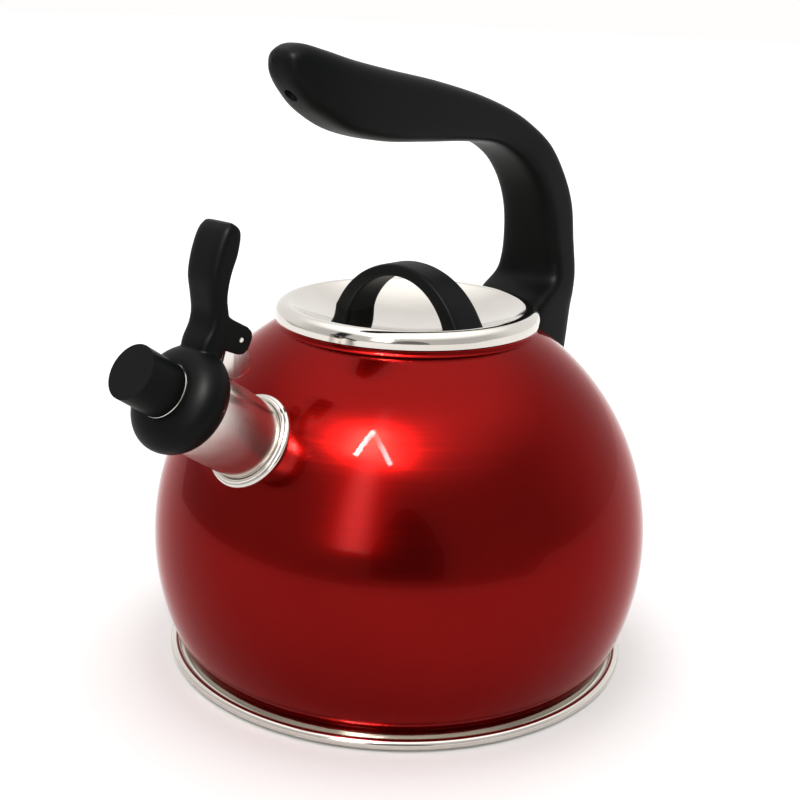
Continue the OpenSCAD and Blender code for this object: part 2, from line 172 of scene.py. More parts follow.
def card(name, outline, distance, level):
    """An even, curved card from an outline of (azimuth, low elevation, high elevation)."""
    points = []
    for azimuth, low, high in outline:
        points += [from_front(azimuth, low, distance), from_front(azimuth, high, distance)]
    faces = [(2 * i, 2 * i + 2, 2 * i + 3, 2 * i + 1) for i in range(len(outline) - 1)]
    mesh = bpy.data.meshes.new(name)
    mesh.from_pydata(points, [], faces)
    look = bpy.data.materials.new(name)
    tree = node_tree(look)
    glow = add(tree, "ShaderNodeEmission", Color=(*(level * part for part in LAMP_TINT), 1), Strength=1.0)
    out = add(tree, "ShaderNodeOutputMaterial")
    tree.links.new(glow.outputs[0], out.inputs[0])
    stage_card(name, mesh, look)


def glow_card(name, azimuth, half, low, high, distance, level):
    """A tall glow around an azimuth, fading out at its edges."""
    rows, columns = 24, 12
    points, faces, fades = [], [], []
    for j in range(rows + 1):
        up = j / rows
        for i in range(columns + 1):
            across = 2 * i / columns - 1
            points.append(from_front(azimuth + half * across, low + (high - low) * up, distance))
            along = (0.55 + 0.45 * up) * min(1, 6 * up) * min(1, 5 * (1 - up))
            fades.append(math.cos(math.pi / 2 * across) ** 2 * along)
    wide = columns + 1
    for j in range(rows):
        for i in range(columns):
            first = j * wide + i
            faces.append((first, first + 1, first + 1 + wide, first + wide))
    mesh = bpy.data.meshes.new(name)
    mesh.from_pydata(points, [], faces)
    mesh.attributes.new("fade", "FLOAT", "POINT").data.foreach_set("value", fades)
    look = bpy.data.materials.new(name)
    tree = node_tree(look)
    fade = add(tree, "ShaderNodeAttribute", attribute_name="fade")
    clear = add(tree, "ShaderNodeBsdfTransparent")
    glow = add(tree, "ShaderNodeEmission", Color=(*LAMP_TINT, 1), Strength=level)
    mix = add(tree, "ShaderNodeMixShader")
    out = add(tree, "ShaderNodeOutputMaterial")
    tree.links.new(fade.outputs["Fac"], mix.inputs[0])
    tree.links.new(clear.outputs[0], mix.inputs[1])
    tree.links.new(glow.outputs[0], mix.inputs[2])
    tree.links.new(mix.outputs[0], out.inputs[0])
    stage_card(name, mesh, look)


def remap(tree, value, low, high, from_low=0.3, from_high=0.7, kind="LINEAR"):
    """Maps from_low..from_high to low..high."""
    node = add(tree, "ShaderNodeMapRange", interpolation_type=kind)
    for socket, number in (("From Min", from_low), ("From Max", from_high), ("To Min", low), ("To Max", high)):
        node.inputs[socket].default_value = number
    tree.links.new(value, node.inputs["Value"])
    return node.outputs["Result"]


def blend_levels(tree, factor, a, b):
    """a where the factor is 0 and b where it is 1; each is a level or a socket."""
    node = add(tree, "ShaderNodeMix", data_type="FLOAT")
    tree.links.new(factor, node.inputs[0])
    for index, value in ((2, a), (3, b)):
        if isinstance(value, (int, float)):
            node.inputs[index].default_value = value
        else:
            tree.links.new(value, node.inputs[index])
    return node.outputs[0]


def make_floor():
    """A wide white floor."""
    edge = 14.0
    corners = [(-edge, -edge, 0), (edge, -edge, 0), (edge, edge, 0), (-edge, edge, 0)]
    mesh = bpy.data.meshes.new("floor")
    mesh.from_pydata(corners, [], [(0, 1, 2, 3)])
    floor = bpy.data.objects.new("floor", mesh)
    scene.collection.objects.link(floor)
    look = bpy.data.materials.new("floor_white")
    tree = node_tree(look)
    shader = add(tree, "ShaderNodeBsdfPrincipled", Base_Color=(0.97, 0.97, 0.97, 1), Roughness=0.7)
    shader.inputs["Specular IOR Level"].default_value = 0.1
    out = add(tree, "ShaderNodeOutputMaterial")
    tree.links.new(shader.outputs[0], out.inputs[0])
    mesh.materials.append(look)


def make_room():
    """White all round, with a bright ceiling and a darker room in front."""
    sweep_level = 1.05
    world = bpy.data.worlds.new("studio")
    scene.world = world
    world.use_nodes = True
    tree = world.node_tree
    tree.nodes.clear()
    coord = add(tree, "ShaderNodeTexCoord")
    parts = add(tree, "ShaderNodeSeparateXYZ")
    tree.links.new(coord.outputs["Generated"], parts.inputs[0])
    height = parts.outputs["Z"]
    front = add(tree, "ShaderNodeVectorMath", operation="DOT_PRODUCT")
    front.inputs[1].default_value = (-0.79, -0.61, 0)
    tree.links.new(coord.outputs["Generated"], front.inputs[0])
    in_room = remap(tree, front.outputs["Value"], 0.0, 1.0, -0.45, 0.25, "SMOOTHSTEP")
    sides = blend_levels(tree, in_room, sweep_level, ROOM_LEVEL)
    overhead = remap(tree, height, 0.0, 1.0, 0.55, 0.93, "SMOOTHSTEP")
    level = blend_levels(tree, overhead, sides, CEILING_LEVEL)
    seen = add(tree, "ShaderNodeLightPath")
    level = blend_levels(tree, seen.outputs["Is Camera Ray"], level, 1.0)
    background = add(tree, "ShaderNodeBackground", Color=(1, 0.99, 0.98, 1))
    tree.links.new(level, background.inputs["Strength"])
    out = add(tree, "ShaderNodeOutputWorld")
    tree.links.new(background.outputs[0], out.inputs[0])


def make_lamps():
    """What the shell mirrors: the table's edge, a dark stand, two key lights and a tall glow."""
    table_edge = [(-122, 3, 4)] + [(a, -7.5, 6) for a in range(-112, 61, 6)] + [(75, 3, 4)]
    card("card_table_edge", table_edge, 0.8, ROOM_LEVEL)
    card("card_stand", [(a, -4, 26 - ((a - 4) / 3.4) ** 2) for a in range(-11, 20, 2)], 0.78, 0.2)

    middle = (0, 0, 0.1)
    emitter("key_left", from_front(-26.5, 53, 1.2), middle, (0.05, 0.27), 16, -14)
    emitter("key_right", from_front(-14, 53, 1.25), middle, (0.045, 0.40), 12, 38)
    # The soft streak down the shell
    glow_card("card_streak", -19, 11, -12, 72, 0.9, 9.0)


# ---------------------------------------------------------------- materials
def material(name, shader_values, finish):
    """A principled material; finish(tree, shader, position) adds its grain and wear."""
    made = bpy.data.materials.new(name)
    tree = node_tree(made)
    shader = add(tree, "ShaderNodeBsdfPrincipled")
    for socket, value in shader_values.items():
        shader.inputs[socket].default_value = value
    out = add(tree, "ShaderNodeOutputMaterial")
    tree.links.new(shader.outputs[0], out.inputs[0])
    coord = add(tree, "ShaderNodeTexCoord")
    finish(tree, shader, coord.outputs["Object"])
    return made


def noise(tree, position, scale, detail=3.0, stretch=(1, 1, 1), rough=0.5):
    mapping = add(tree, "ShaderNodeMapping")
    mapping.inputs["Scale"].default_value = stretch
    tree.links.new(position, mapping.inputs[0])
    node = add(tree, "ShaderNodeTexNoise", Scale=scale, Detail=detail, Roughness=rough)
    tree.links.new(mapping.outputs[0], node.inputs["Vector"])
    return node.outputs["Fac"]


def ramp(tree, value, stops):
    node = add(tree, "ShaderNodeValToRGB")
    elements = node.color_ramp.elements
    while len(elements) < len(stops):
        elements.new(0.5)
    for element, (place, colour) in zip(elements, stops):
        element.position = place
        element.color = colour
    tree.links.new(value, node.inputs[0])
    return node.outputs[0]


def bump(tree, shader, height, strength, distance):
    node = add(tree, "ShaderNodeBump", Strength=strength, Distance=distance)
    tree.links.new(height, node.inputs["Height"])
    tree.links.new(node.outputs[0], shader.inputs["Normal"])


def dress(tree, shader, rough, tint, relief):
    """Links a finish to a shader.

    rough is (source, low, high), tint is (source, dark, light), relief is (source, strength, distance).
    """
    tree.links.new(remap(tree, *rough), shader.inputs["Roughness"])
    source, dark, light = tint
    tree.links.new(ramp(tree, source, [(0.3, (*dark, 1)), (0.7, (*light, 1))]), shader.inputs["Base Color"])
    bump(tree, shader, *relief)


def round_z(tree, position):
    """Turns a position into (radius, 0, height), so that grain runs round the kettle's axis."""
    parts = add(tree, "ShaderNodeSeparateXYZ")
    tree.links.new(position, parts.inputs[0])
    flat = add(tree, "ShaderNodeCombineXYZ")
    tree.links.new(parts.outputs["X"], flat.inputs["X"])
    tree.links.new(parts.outputs["Y"], flat.inputs["Y"])
    length = add(tree, "ShaderNodeVectorMath", operation="LENGTH")
    tree.links.new(flat.outputs[0], length.inputs[0])
    joined = add(tree, "ShaderNodeCombineXYZ")
    tree.links.new(length.outputs["Value"], joined.inputs["X"])
    tree.links.new(parts.outputs["Z"], joined.inputs["Z"])
    return joined.outputs[0]


def beside(tree, position):
    """Turns a position so that its Z runs along the whistle cap's axis."""
    mapping = add(tree, "ShaderNodeMapping", vector_type="TEXTURE")
    place = ALONG_CAP.copy()
    mapping.inputs["Location"].default_value = place.to_translation() * MM
    mapping.inputs["Rotation"].default_value = place.to_euler()
    tree.links.new(position, mapping.inputs[0])
    return mapping.outputs[0]


def lacquer_finish(tree, shader, position):
    """Clear red lacquer over spun steel: faint turning lines, cloudy depth and a slight ripple."""
    turned = noise(tree, round_z(tree, position), 900, 2.0)
    cloud = noise(tree, position, 14, 4.0)
    tree.links.new(remap(tree, turned, 0.20, 0.24), shader.inputs["Roughness"])
    deep = ramp(tree, cloud, [(0.35, (0.150, 0.0018, 0.0014, 1)), (0.65, (0.172, 0.0026, 0.0020, 1))])
    tree.links.new(deep, shader.inputs["Base Color"])
    tangent = add(tree, "ShaderNodeTangent", direction_type="RADIAL", axis="Z")
    tree.links.new(tangent.outputs[0], shader.inputs["Tangent"])
    ripple = noise(tree, position, 55, 1.0)
    node = add(tree, "ShaderNodeBump", Strength=0.05, Distance=0.0006)
    tree.links.new(ripple, node.inputs["Height"])
    tree.links.new(node.outputs[0], shader.inputs["Coat Normal"])


def polished_finish(tree, shader, position):
    """Mirror-polished steel with faint buffing lines and smudges."""
    smudge = noise(tree, position, 30, 5.0, rough=0.6)
    lines = noise(tree, position, 160, 2.0, stretch=(1, 1, 14))
    dress(tree, shader, (smudge, 0.05, 0.13), (smudge, (0.61, 0.58, 0.535), (0.68, 0.65, 0.605)),
          (lines, 0.04, 0.0002))


def satin_finish(tree, shader, position):
    """Satin steel, turned round its axis."""
    lines = noise(tree, round_z(tree, position), 1500, 3.0)
    patch = noise(tree, position, 25, 3.0)
    dress(tree, shader, (lines, 0.22, 0.42), (patch, (0.50, 0.49, 0.47), (0.60, 0.585, 0.56)),
          (lines, 0.12, 0.0003))


def bright_finish(tree, shader, position):
    """Drawn steel left a little matt, with faint lines along the spout."""
    lines = noise(tree, beside(tree, position), 260, 3.0, stretch=(1, 1, 0.05))
    smudge = noise(tree, position, 40, 4.0)
    dress(tree, shader, (smudge, 0.18, 0.25), (smudge, (0.72, 0.68, 0.645), (0.79, 0.755, 0.72)),
          (lines, 0.015, 0.0002))


def disc_finish(tree, shader, position):
    """The whistle's pressed disc: grey satin steel with turning lines round its hole."""
    turned = noise(tree, round_z(tree, beside(tree, position)), 2200, 3.0)
    patch = noise(tree, position, 160, 3.0)
    dress(tree, shader, (turned, 0.34, 0.50), (patch, (0.20, 0.195, 0.185), (0.26, 0.255, 0.24)),
          (turned, 0.10, 0.0002))


def plastic_finish(tree, shader, position):
    """Moulded black plastic: a fine matt texture, slightly polished where hands rub it."""
    grain = noise(tree, position, 2600, 2.0)
    wear = noise(tree, position, 22, 3.0)
    dress(tree, shader, (wear, 0.38, 0.50), (wear, (0.0026, 0.0034, 0.0031), (0.0040, 0.0050, 0.0046)),
          (grain, 0.10, 0.0002))


def silicone_finish(tree, shader, position):
    """Matt silicone with a little dust."""
    dust = noise(tree, position, 120, 5.0)
    dress(tree, shader, (dust, 0.55, 0.75), (dust, (0.10, 0.105, 0.11), (0.14, 0.145, 0.15)),
          (dust, 0.1, 0.0002))


def aluminium_finish(tree, shader, position):
    """Rolled aluminium with straight rolling lines."""
    lines = noise(tree, position, 90, 4.0, stretch=(1, 22, 1))
    dress(tree, shader, (lines, 0.30, 0.50), (lines, (0.68, 0.68, 0.69), (0.76, 0.76, 0.77)),
          (lines, 0.1, 0.0002))


RED = material("red_lacquer", {"Metallic": 1.0, "Anisotropic": 0.7, "Coat Weight": 1.0, "Coat Roughness": 0.02,
                               "Coat IOR": 1.12, "Specular Tint": (0.75, 0.26, 0.24, 1)}, lacquer_finish)
POLISHED = material("polished_steel", {"Metallic": 1.0}, polished_finish)
SATIN = material("satin_steel", {"Metallic": 1.0}, satin_finish)
BRIGHT = material("bright_satin_steel", {"Metallic": 1.0}, bright_finish)
DISC = material("spun_disc_steel", {"Metallic": 1.0}, disc_finish)
SPRING = material("spring_steel", {"Metallic": 1.0}, satin_finish)
BLACK = material("black_plastic", {"IOR": 1.15}, plastic_finish)
SILICONE = material("silicone", {"IOR": 1.45}, silicone_finish)
ALUMINIUM = material("aluminium", {"Metallic": 1.0}, aluminium_finish)

SLOT_LOOKS = {"red_enamel": RED, "polished_steel": POLISHED, "brushed_steel": SATIN, "spring_steel": SPRING,
              "aluminium_core": ALUMINIUM, "black_plastic": BLACK, "silicone": SILICONE}


# ---------------------------------------------------------------- mesh tools
def arc(centre, radius, start, end, steps):
    """Points of an arc, or of an oval where radius is a pair."""
    rx, ry = radius if isinstance(radius, tuple) else (radius, radius)
    turns = [math.radians(start + (end - start) * i / steps) for i in range(steps + 1)]
    return [(centre[0] + rx * math.cos(t), centre[1] + ry * math.sin(t)) for t in turns]


def rounded(corners, steps=6):
    """A closed outline of (x, y, radius) corners, each rounded by its radius."""
    outline, count = [], len(corners)
    for i, (x, y, radius) in enumerate(corners):
        here = Vector((x, y))
        before = Vector(corners[i - 1][:2]) - here
        after = Vector(corners[(i + 1) % count][:2]) - here
        if radius <= 0 or before.length < 1e-6 or after.length < 1e-6:
            outline.append((x, y))
            continue
        half = before.angle(after) / 2
        if half > math.radians(89.5):
            outline.append((x, y))
            continue
        back = min(radius / math.tan(half), before.length * 0.49, after.length * 0.49)
        radius = back * math.tan(half)
        middle = here + (before.normalized() + after.normalized()).normalized() * (radius / math.sin(half))
        first = here + before.normalized() * back - middle
        last = here + after.normalized() * back - middle
        sweep = first.angle_signed(last)
        for k in range(steps + 1):
            turn = Matrix.Rotation(-sweep * k / steps, 2)
            outline.append(tuple(middle + turn @ first))
    return outline


def new_object(name, points, faces, place=None, sharp=32.0):
    """A smooth-shaded object from points in millimetres."""
    mesh = bpy.data.meshes.new(name)
    mesh.from_pydata([tuple(p) for p in points], [], faces)
    if place is not None:
        mesh.transform(place)
    mesh.transform(Matrix.Scale(MM, 4))
    edit = bmesh.new()
    edit.from_mesh(mesh)
    bmesh.ops.remove_doubles(edit, verts=edit.verts, dist=1e-7)
    bmesh.ops.recalc_face_normals(edit, faces=edit.faces)
    edit.to_mesh(mesh)
    edit.free()
    mesh.validate()
    smooth_by_angle(mesh, sharp)
    made = bpy.data.objects.new(name, mesh)
    scene.collection.objects.link(made)
    return made


def smooth_by_angle(mesh, degrees):
    """Smooth shading, with edges sharper than the angle kept hard."""
    mesh.polygons.foreach_set("use_smooth", [True] * len(mesh.polygons))
    mesh.set_sharp_from_angle(angle=math.radians(degrees))
    mesh.update()


def lathe(name, profile, sides=160, place=None, sharp=32.0):
    """Turns a closed outline of (radius, height) about Z."""
    points, faces = [], []
    count = len(profile)
    for j in range(sides):
        turn = 2 * math.pi * j / sides
        points += [(r * math.cos(turn), r * math.sin(turn), z) for r, z in profile]
    for j in range(sides):
        k = (j + 1) % sides
        for i in range(count):
            m = (i + 1) % count
            if profile[i][0] < 1e-9 and profile[m][0] < 1e-9:
                continue
            faces.append((j * count + i, k * count + i, k * count + m, j * count + m))
    return new_object(name, points, faces, place, sharp)


def between(a, b, c, d, u):
    """A point at u between the stations b and c, on the smooth curve through all four."""
    return [0.5 * (2 * q + (r - p) * u + (2 * p - 5 * q + 4 * r - s) * u * u + (3 * q - p - 3 * r + s) * u ** 3)
            for p, q, r, s in zip(a, b, c, d)]


def smooth_stations(stations, steps):
    """Fills in steps stations between each two."""
    last = len(stations) - 1
    made = []
    for i in range(last):
        near = [stations[max(i - 1, 0)], stations[i], stations[i + 1], stations[min(i + 2, last)]]
        made += [between(*near, k / steps) for k in range(steps)]
    return made + [list(stations[last])]


def squared(value, power):
    """A sine or cosine pushed outwards, which squares a round section."""
    return math.copysign(abs(value) ** power, value)


def section(s, sides):
    """A rounded section between the inner and outer points of a station."""
    ring = []
    for j in range(sides):
        # Even steps along a squared section, so that its corners are as fine as its sides
        turn = 2 * math.pi * j / sides
        u, v = squared(math.cos(turn), s[5]), squared(math.sin(turn), s[5])
        x, z = ((s[k] + s[k + 2] + (s[k + 2] - s[k]) * u) / 2 for k in (0, 1))
        ring.append((x, s[4] / 2 * v, z))
    return ring


def loft(name, stations, steps, sides, place=None, dome=4):
    """Joins smooth sections, with small domes over the two ends."""
    rings = smooth_stations(stations, steps)
    points = [p for s in rings for p in section(s, sides)]
    faces = []
    for i in range(len(rings) - 1):
        for j in range(sides):
            k = (j + 1) % sides
            faces.append((i * sides + j, i * sides + k, (i + 1) * sides + k, (i + 1) * sides + j))
    for base in (0, (len(rings) - 1) * sides):
        ring = list(range(base, base + sides))
        middle = [sum(points[r][k] for r in ring) / sides for k in range(3)]
        for step in range(1, dome):
            share = 1 - step / dome
            start = len(points)
            points += [tuple(middle[k] + (points[r][k] - middle[k]) * share for k in range(3))
                       for r in range(base, base + sides)]
            fresh = list(range(start, start + sides))
            faces += [(ring[j], ring[(j + 1) % sides], fresh[(j + 1) % sides], fresh[j]) for j in range(sides)]
            ring = fresh
        points.append(tuple(middle))
        faces += [(ring[j], ring[(j + 1) % sides], len(points) - 1) for j in range(sides)]
    return new_object(name, points, faces, place, 40.0)


def slab(name, outline, y0, y1, place=None, bevel=0.25, steps=3):
    """An outline in the X-Z plane, thickened from y0 to y1, with its long edges rounded."""
    count = len(outline)
    points = [(x, y0, z) for x, z in outline] + [(x, y1, z) for x, z in outline]
    faces = [tuple(range(count)), tuple(range(2 * count - 1, count - 1, -1))]
    faces += [(i, (i + 1) % count, count + (i + 1) % count, count + i) for i in range(count)]
    made = new_object(name, points, faces, place)
    if bevel:
        modifier(made, "BEVEL", width=bevel * MM, segments=steps, limit_method="ANGLE",
                 angle_limit=math.radians(50), harden_normals=False)
        smooth_by_angle(made.data, 35)
    return made


def modifier(obj, kind, **values):
    """Adds a modifier and applies it."""
    added = obj.modifiers.new(kind.lower(), kind)
    for name, value in values.items():
        setattr(added, name, value)
    apply(obj)


def apply(obj):
    bpy.context.view_layer.update()
    graph = bpy.context.evaluated_depsgraph_get()
    fresh = bpy.data.meshes.new_from_object(obj.evaluated_get(graph))
    old = obj.data
    obj.modifiers.clear()
    obj.data = fresh
    bpy.data.meshes.remove(old)


def combine(obj, others, operation):
    """Cuts the others from obj, or joins them to it, and deletes them."""
    for other in others:
        modifier(obj, "BOOLEAN", object=other, operation=operation, solver="EXACT")
        bpy.data.objects.remove(other)


def rod(name, radius, low, high, place=None, sides=64):
    return lathe(name, [(0, low), (radius, low), (radius, high), (0, high)], sides, place)


def join(objects, name):
    """Makes one mesh of several."""
    edit = bmesh.new()
    for obj in objects:
        edit.from_mesh(obj.data)
    mesh = bpy.data.meshes.new(name)
    edit.to_mesh(mesh)
    edit.free()
    for obj in objects:
        bpy.data.objects.remove(obj)
    made = bpy.data.objects.new(name, mesh)
    scene.collection.objects.link(made)
    return made


def piece(obj, look, body, node):
    """Gives a finished piece its material and body, and hides the CAD node that it replaces."""
    obj.data.materials.clear()
    obj.data.materials.append(look)
    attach(obj, body)
    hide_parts(node)


def ball_normals(obj, tolerance=0.02):
    """Gives the parts of a mesh that lie on the shell's ball their exact normals."""
    mesh = obj.data
    centre = Vector((0, 0, BELLY_Z * MM))
    away = [v.co - centre for v in mesh.vertices]
    near = {radius: [abs(a.length / MM - radius) < tolerance for a in away]
            for radius in (BODY_R, BODY_R - WALL)}
    corner = [Vector(n.vector) for n in mesh.corner_normals]
    for face in mesh.polygons:
        for radius, flags in near.items():
            if all(flags[v] for v in face.vertices):
                side = 1 if radius == BODY_R else -1
                for loop in face.loop_indices:
                    corner[loop] = away[mesh.loops[loop].vertex_index].normalized() * side
    mesh.normals_split_custom_set(corner)


# ---------------------------------------------------------------- the pot
def make_pot():
    collar_foot = BELLY_Z + math.sqrt(BODY_R ** 2 - COLLAR_R ** 2)
    top_angle = math.degrees(math.asin((collar_foot - BELLY_Z) / BODY_R)) - 0.6
    low_angle = math.degrees(math.asin((BASE_H - BELLY_Z) / BODY_R))
    inner = BODY_R - WALL
    inner_low = math.degrees(math.asin((BASE_H - BELLY_Z) / inner))
    inner_top = math.degrees(math.acos((COLLAR_R - WALL) / inner))
    profile = arc((0, BELLY_Z), BODY_R, low_angle, top_angle, 90)
    profile += [(COLLAR_R + 0.12, collar_foot + 0.35), (COLLAR_R, collar_foot + 0.8),
                (COLLAR_R, COLLAR_TOP - 0.2), (COLLAR_R - 0.2, COLLAR_TOP),
                (COLLAR_R - WALL + 0.2, COLLAR_TOP), (COLLAR_R - WALL, COLLAR_TOP - 0.2)]
    profile += arc((0, BELLY_Z), inner, inner_top, inner_low, 70)
    shell = lathe("pot_shell", profile, 256)
    combine(shell, [rod("cut", SPOUT_R, 60, 130, ALONG_SPOUT, 128)], "DIFFERENCE")
    smooth_by_angle(shell.data, 32)
    ball_normals(shell)
    piece(shell, RED, "kettle", "body_shell")

    throat = rounded([
        (THROAT_R, THROAT_BOTTOM, 0.3), (THROAT_R + WALL, THROAT_BOTTOM, 0.3),
        (THROAT_R + WALL, COLLAR_TOP - WALL, 0.6), (COLLAR_R - WALL, COLLAR_TOP - WALL, 0.1),
        (COLLAR_R - WALL, COLLAR_TOP, 0.1), (THROAT_R, COLLAR_TOP, 1.2)])
    piece(lathe("neck_throat", throat, 192), POLISHED, "kettle", "neck_ring")

    side_r, bead_r = ball_r(BODY_R, BASE_H), 2.0
    bead = (BASE_D / 2 - bead_r, bead_r + 0.6)
    recess = 0.25
    base = [(0, recess)]
    for r in (34, 62):
        base += [(r, recess), (r + 1, 0.0), (r + 3, 0.0), (r + 4, recess)]
    base += [(80, recess), (81.5, 0.0), (side_r, 0.0), (bead[0] - 0.9, 0.35)]
    base += arc(bead, bead_r, -78, 150, 26)
    base += [(side_r + 0.45, 2.6), (side_r + 0.05, 2.9), (side_r, BASE_H), (side_r - 1.4, BASE_H),
             (side_r - 1.4, WALL + recess), (0, WALL + recess)]
    piece(lathe("base_capsule", base, 256), POLISHED, "kettle", "base_cover")


def make_spout():
    foot_a = math.sqrt(BODY_R ** 2 - SPOUT_R ** 2)

    def ball_a(r):
        return math.sqrt(BODY_R ** 2 - r * r)

    # The collar lies on the ball: a pressed foot, a roll, and a weld bead against the tube
    outer = SPOUT_R + 2.8
    collar = [(SPOUT_R + 0.02, ball_a(SPOUT_R) - 1.2), (outer - 0.5, ball_a(outer - 0.5) - 0.3)]
    collar += [(outer - 0.15, ball_a(outer) + 0.05)]
    collar += arc((outer - 1.3, foot_a + 0.2), 1.3, -8, 112, 12)
    collar += arc((SPOUT_R + 0.85, foot_a + 1.45), 0.85, 18, 172, 12)
    piece(lathe("spout_collar", collar, 160, ALONG_SPOUT), POLISHED, "kettle", "spout_flange")

    tail = BODY_R - 4
    tube = rounded([
        (SPOUT_R - WALL, tail, 0.2), (SPOUT_R, tail, 0.2), (SPOUT_R, MOUTH_A - 1.9, 0.1),
        (SPOUT_R + 0.28, MOUTH_A - 1.5, 0.3), (SPOUT_R + 0.28, MOUTH_A - 0.3, 0.3),
        (SPOUT_R - 0.1, MOUTH_A, 0.3), (SPOUT_R - WALL, MOUTH_A, 0.3)])
    piece(lathe("spout_pipe", tube, 160, ALONG_SPOUT), BRIGHT, "kettle", "spout_tube")


def upright(outline):
    """Moves an outline of (above, along) places beside the spout into the X-Z plane."""
    return [beside_spout(p, a) for p, a in outline]


def make_hinge():
    outline = rounded([
        (SPOUT_R + 0.1, 129.6, 0.4), (SPOUT_R + 0.1, 122.5, 0.4), (18.2, 119.5, 1.2), (22.6, 117.6, 1.4),
        (30.3, 125.8, 2.2), (31.0, 129.6, 3.0), (27.8, 132.5, 2.0), (24.2, 132.0, 1.2)], 8)
    ears = []
    for side in (-1, 1):
        y0 = side * (EAR_Y - EAR_T / 2) - EAR_T / 2
        ears.append(slab("ear", upright(outline), y0, y0 + EAR_T, None, 0.2))
    saddle_a = math.degrees(math.asin(EAR_Y / SPOUT_R))
    saddle = [(math.cos(math.radians(t)) * r, math.sin(math.radians(t)) * r)
              for r, line in ((SPOUT_R + 0.02, range(-9, 10)), (SPOUT_R + WALL, range(9, -10, -1)))
              for t in (saddle_a * k / 9 for k in line)]
    points = [(x, y, a) for a in (122.6, 129.5) for x, y in saddle]
    count = len(saddle)
    faces = [tuple(range(count)), tuple(range(2 * count - 1, count - 1, -1))]
    faces += [(i, (i + 1) % count, count + (i + 1) % count, count + i) for i in range(count)]
    plate = new_object("saddle", points, faces, ALONG_SPOUT)
    modifier(plate, "BEVEL", width=0.15 * MM, segments=2, limit_method="ANGLE", angle_limit=math.radians(50))
    bracket = join([*ears, plate], "hinge_ears")
    smooth_by_angle(bracket.data, 35)
    combine(bracket, [rod("cut", PIN_R, -9, 9, ALONG_PIN, 48)], "DIFFERENCE")
    smooth_by_angle(bracket.data, 35)
    piece(bracket, BRIGHT, "kettle", "hinge_bracket")

    half = CHEEK_Y + CHEEK_T + 0.4
    pin = rounded([(0, -half, 0), (PIN_R, -half, 0.45), (PIN_R, half, 0.45), (0, half, 0)], 6)
    piece(lathe("hinge_rivet", pin, 64, ALONG_PIN), POLISHED, "kettle", "hinge_pin")

    wire, turns, pitch = 0.35, 5, 1.0
    radius = PIN_R + wire + 0.35
    line = [(radius, -pitch * turns / 2, -6.5), (radius, -pitch * turns / 2, -3.0)]
    for i in range(int(24 * (turns + 0.25)) + 1):
        t = i / 24
        angle = 2 * math.pi * t
        line.append((radius * math.cos(angle), pitch * (t - turns / 2), radius * math.sin(angle)))
    end_y = pitch * (turns / 2 + 0.3)
    line += [(-2.4, end_y, radius), (-4.4, end_y, radius + 0.4), (-4.75, end_y, radius + 1.2),
             (-4.75, end_y, 4.6)]
    spring = tube_along("torsion_spring", line, wire, 12, Matrix.Translation((PIVOT[0], 0, PIVOT[1])))
    spring.data.materials.append(SPRING)
    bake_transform(spring)
    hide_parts("return_spring")


def tube_along(name, line, radius, sides, place=None):
    """A round wire along a line."""
    line = [Vector(p) for p in line]
    points, faces, last = [], [], len(line) - 1
    up = Vector((0, 1, 0.001))
    for i, p in enumerate(line):
        heading = (line[min(i + 1, last)] - line[max(i - 1, 0)]).normalized()
        u = heading.cross(up).normalized()
        v = heading.cross(u)
        for j in range(sides):
            turn = 2 * math.pi * j / sides
            points.append(p + radius * (math.cos(turn) * u + math.sin(turn) * v))
    for i in range(last):
        for j in range(sides):
            k = (j + 1) % sides
            faces.append((i * sides + j, i * sides + k, (i + 1) * sides + k, (i + 1) * sides + j))
    faces += [tuple(range(sides)), tuple(range((last + 1) * sides - 1, last * sides - 1, -1))]
    return new_object(name, points, faces, place, 50.0)


# ---------------------------------------------------------------- the whistle
# Stations of a loft: the inner x and z, the outer x and z, the width, and how round the section is
LEVER = [
    (-96.4, 185.2, -94.2, 185.4, 13, 0.6), (-99, 182.6, -91.2, 182.4, 16, 0.5),
    (-102, 176, -92.2, 175.6, 16.4, 0.45), (-103.9, 168, -95.2, 168, 15.8, 0.45),
    (-103.4, 161, -96.6, 161, 14.8, 0.45), (-103, 155.5, -96.2, 155.5, 14.8, 0.45),
    (-104.2, 151, -95.6, 151, 15, 0.45), (-107.4, 146, -96.2, 145, 15, 0.5),
    (-108.6, 141.5, -98.6, 139.8, 14.6, 0.6), (-107.8, 138, -100.2, 136.6, 13, 0.6)]


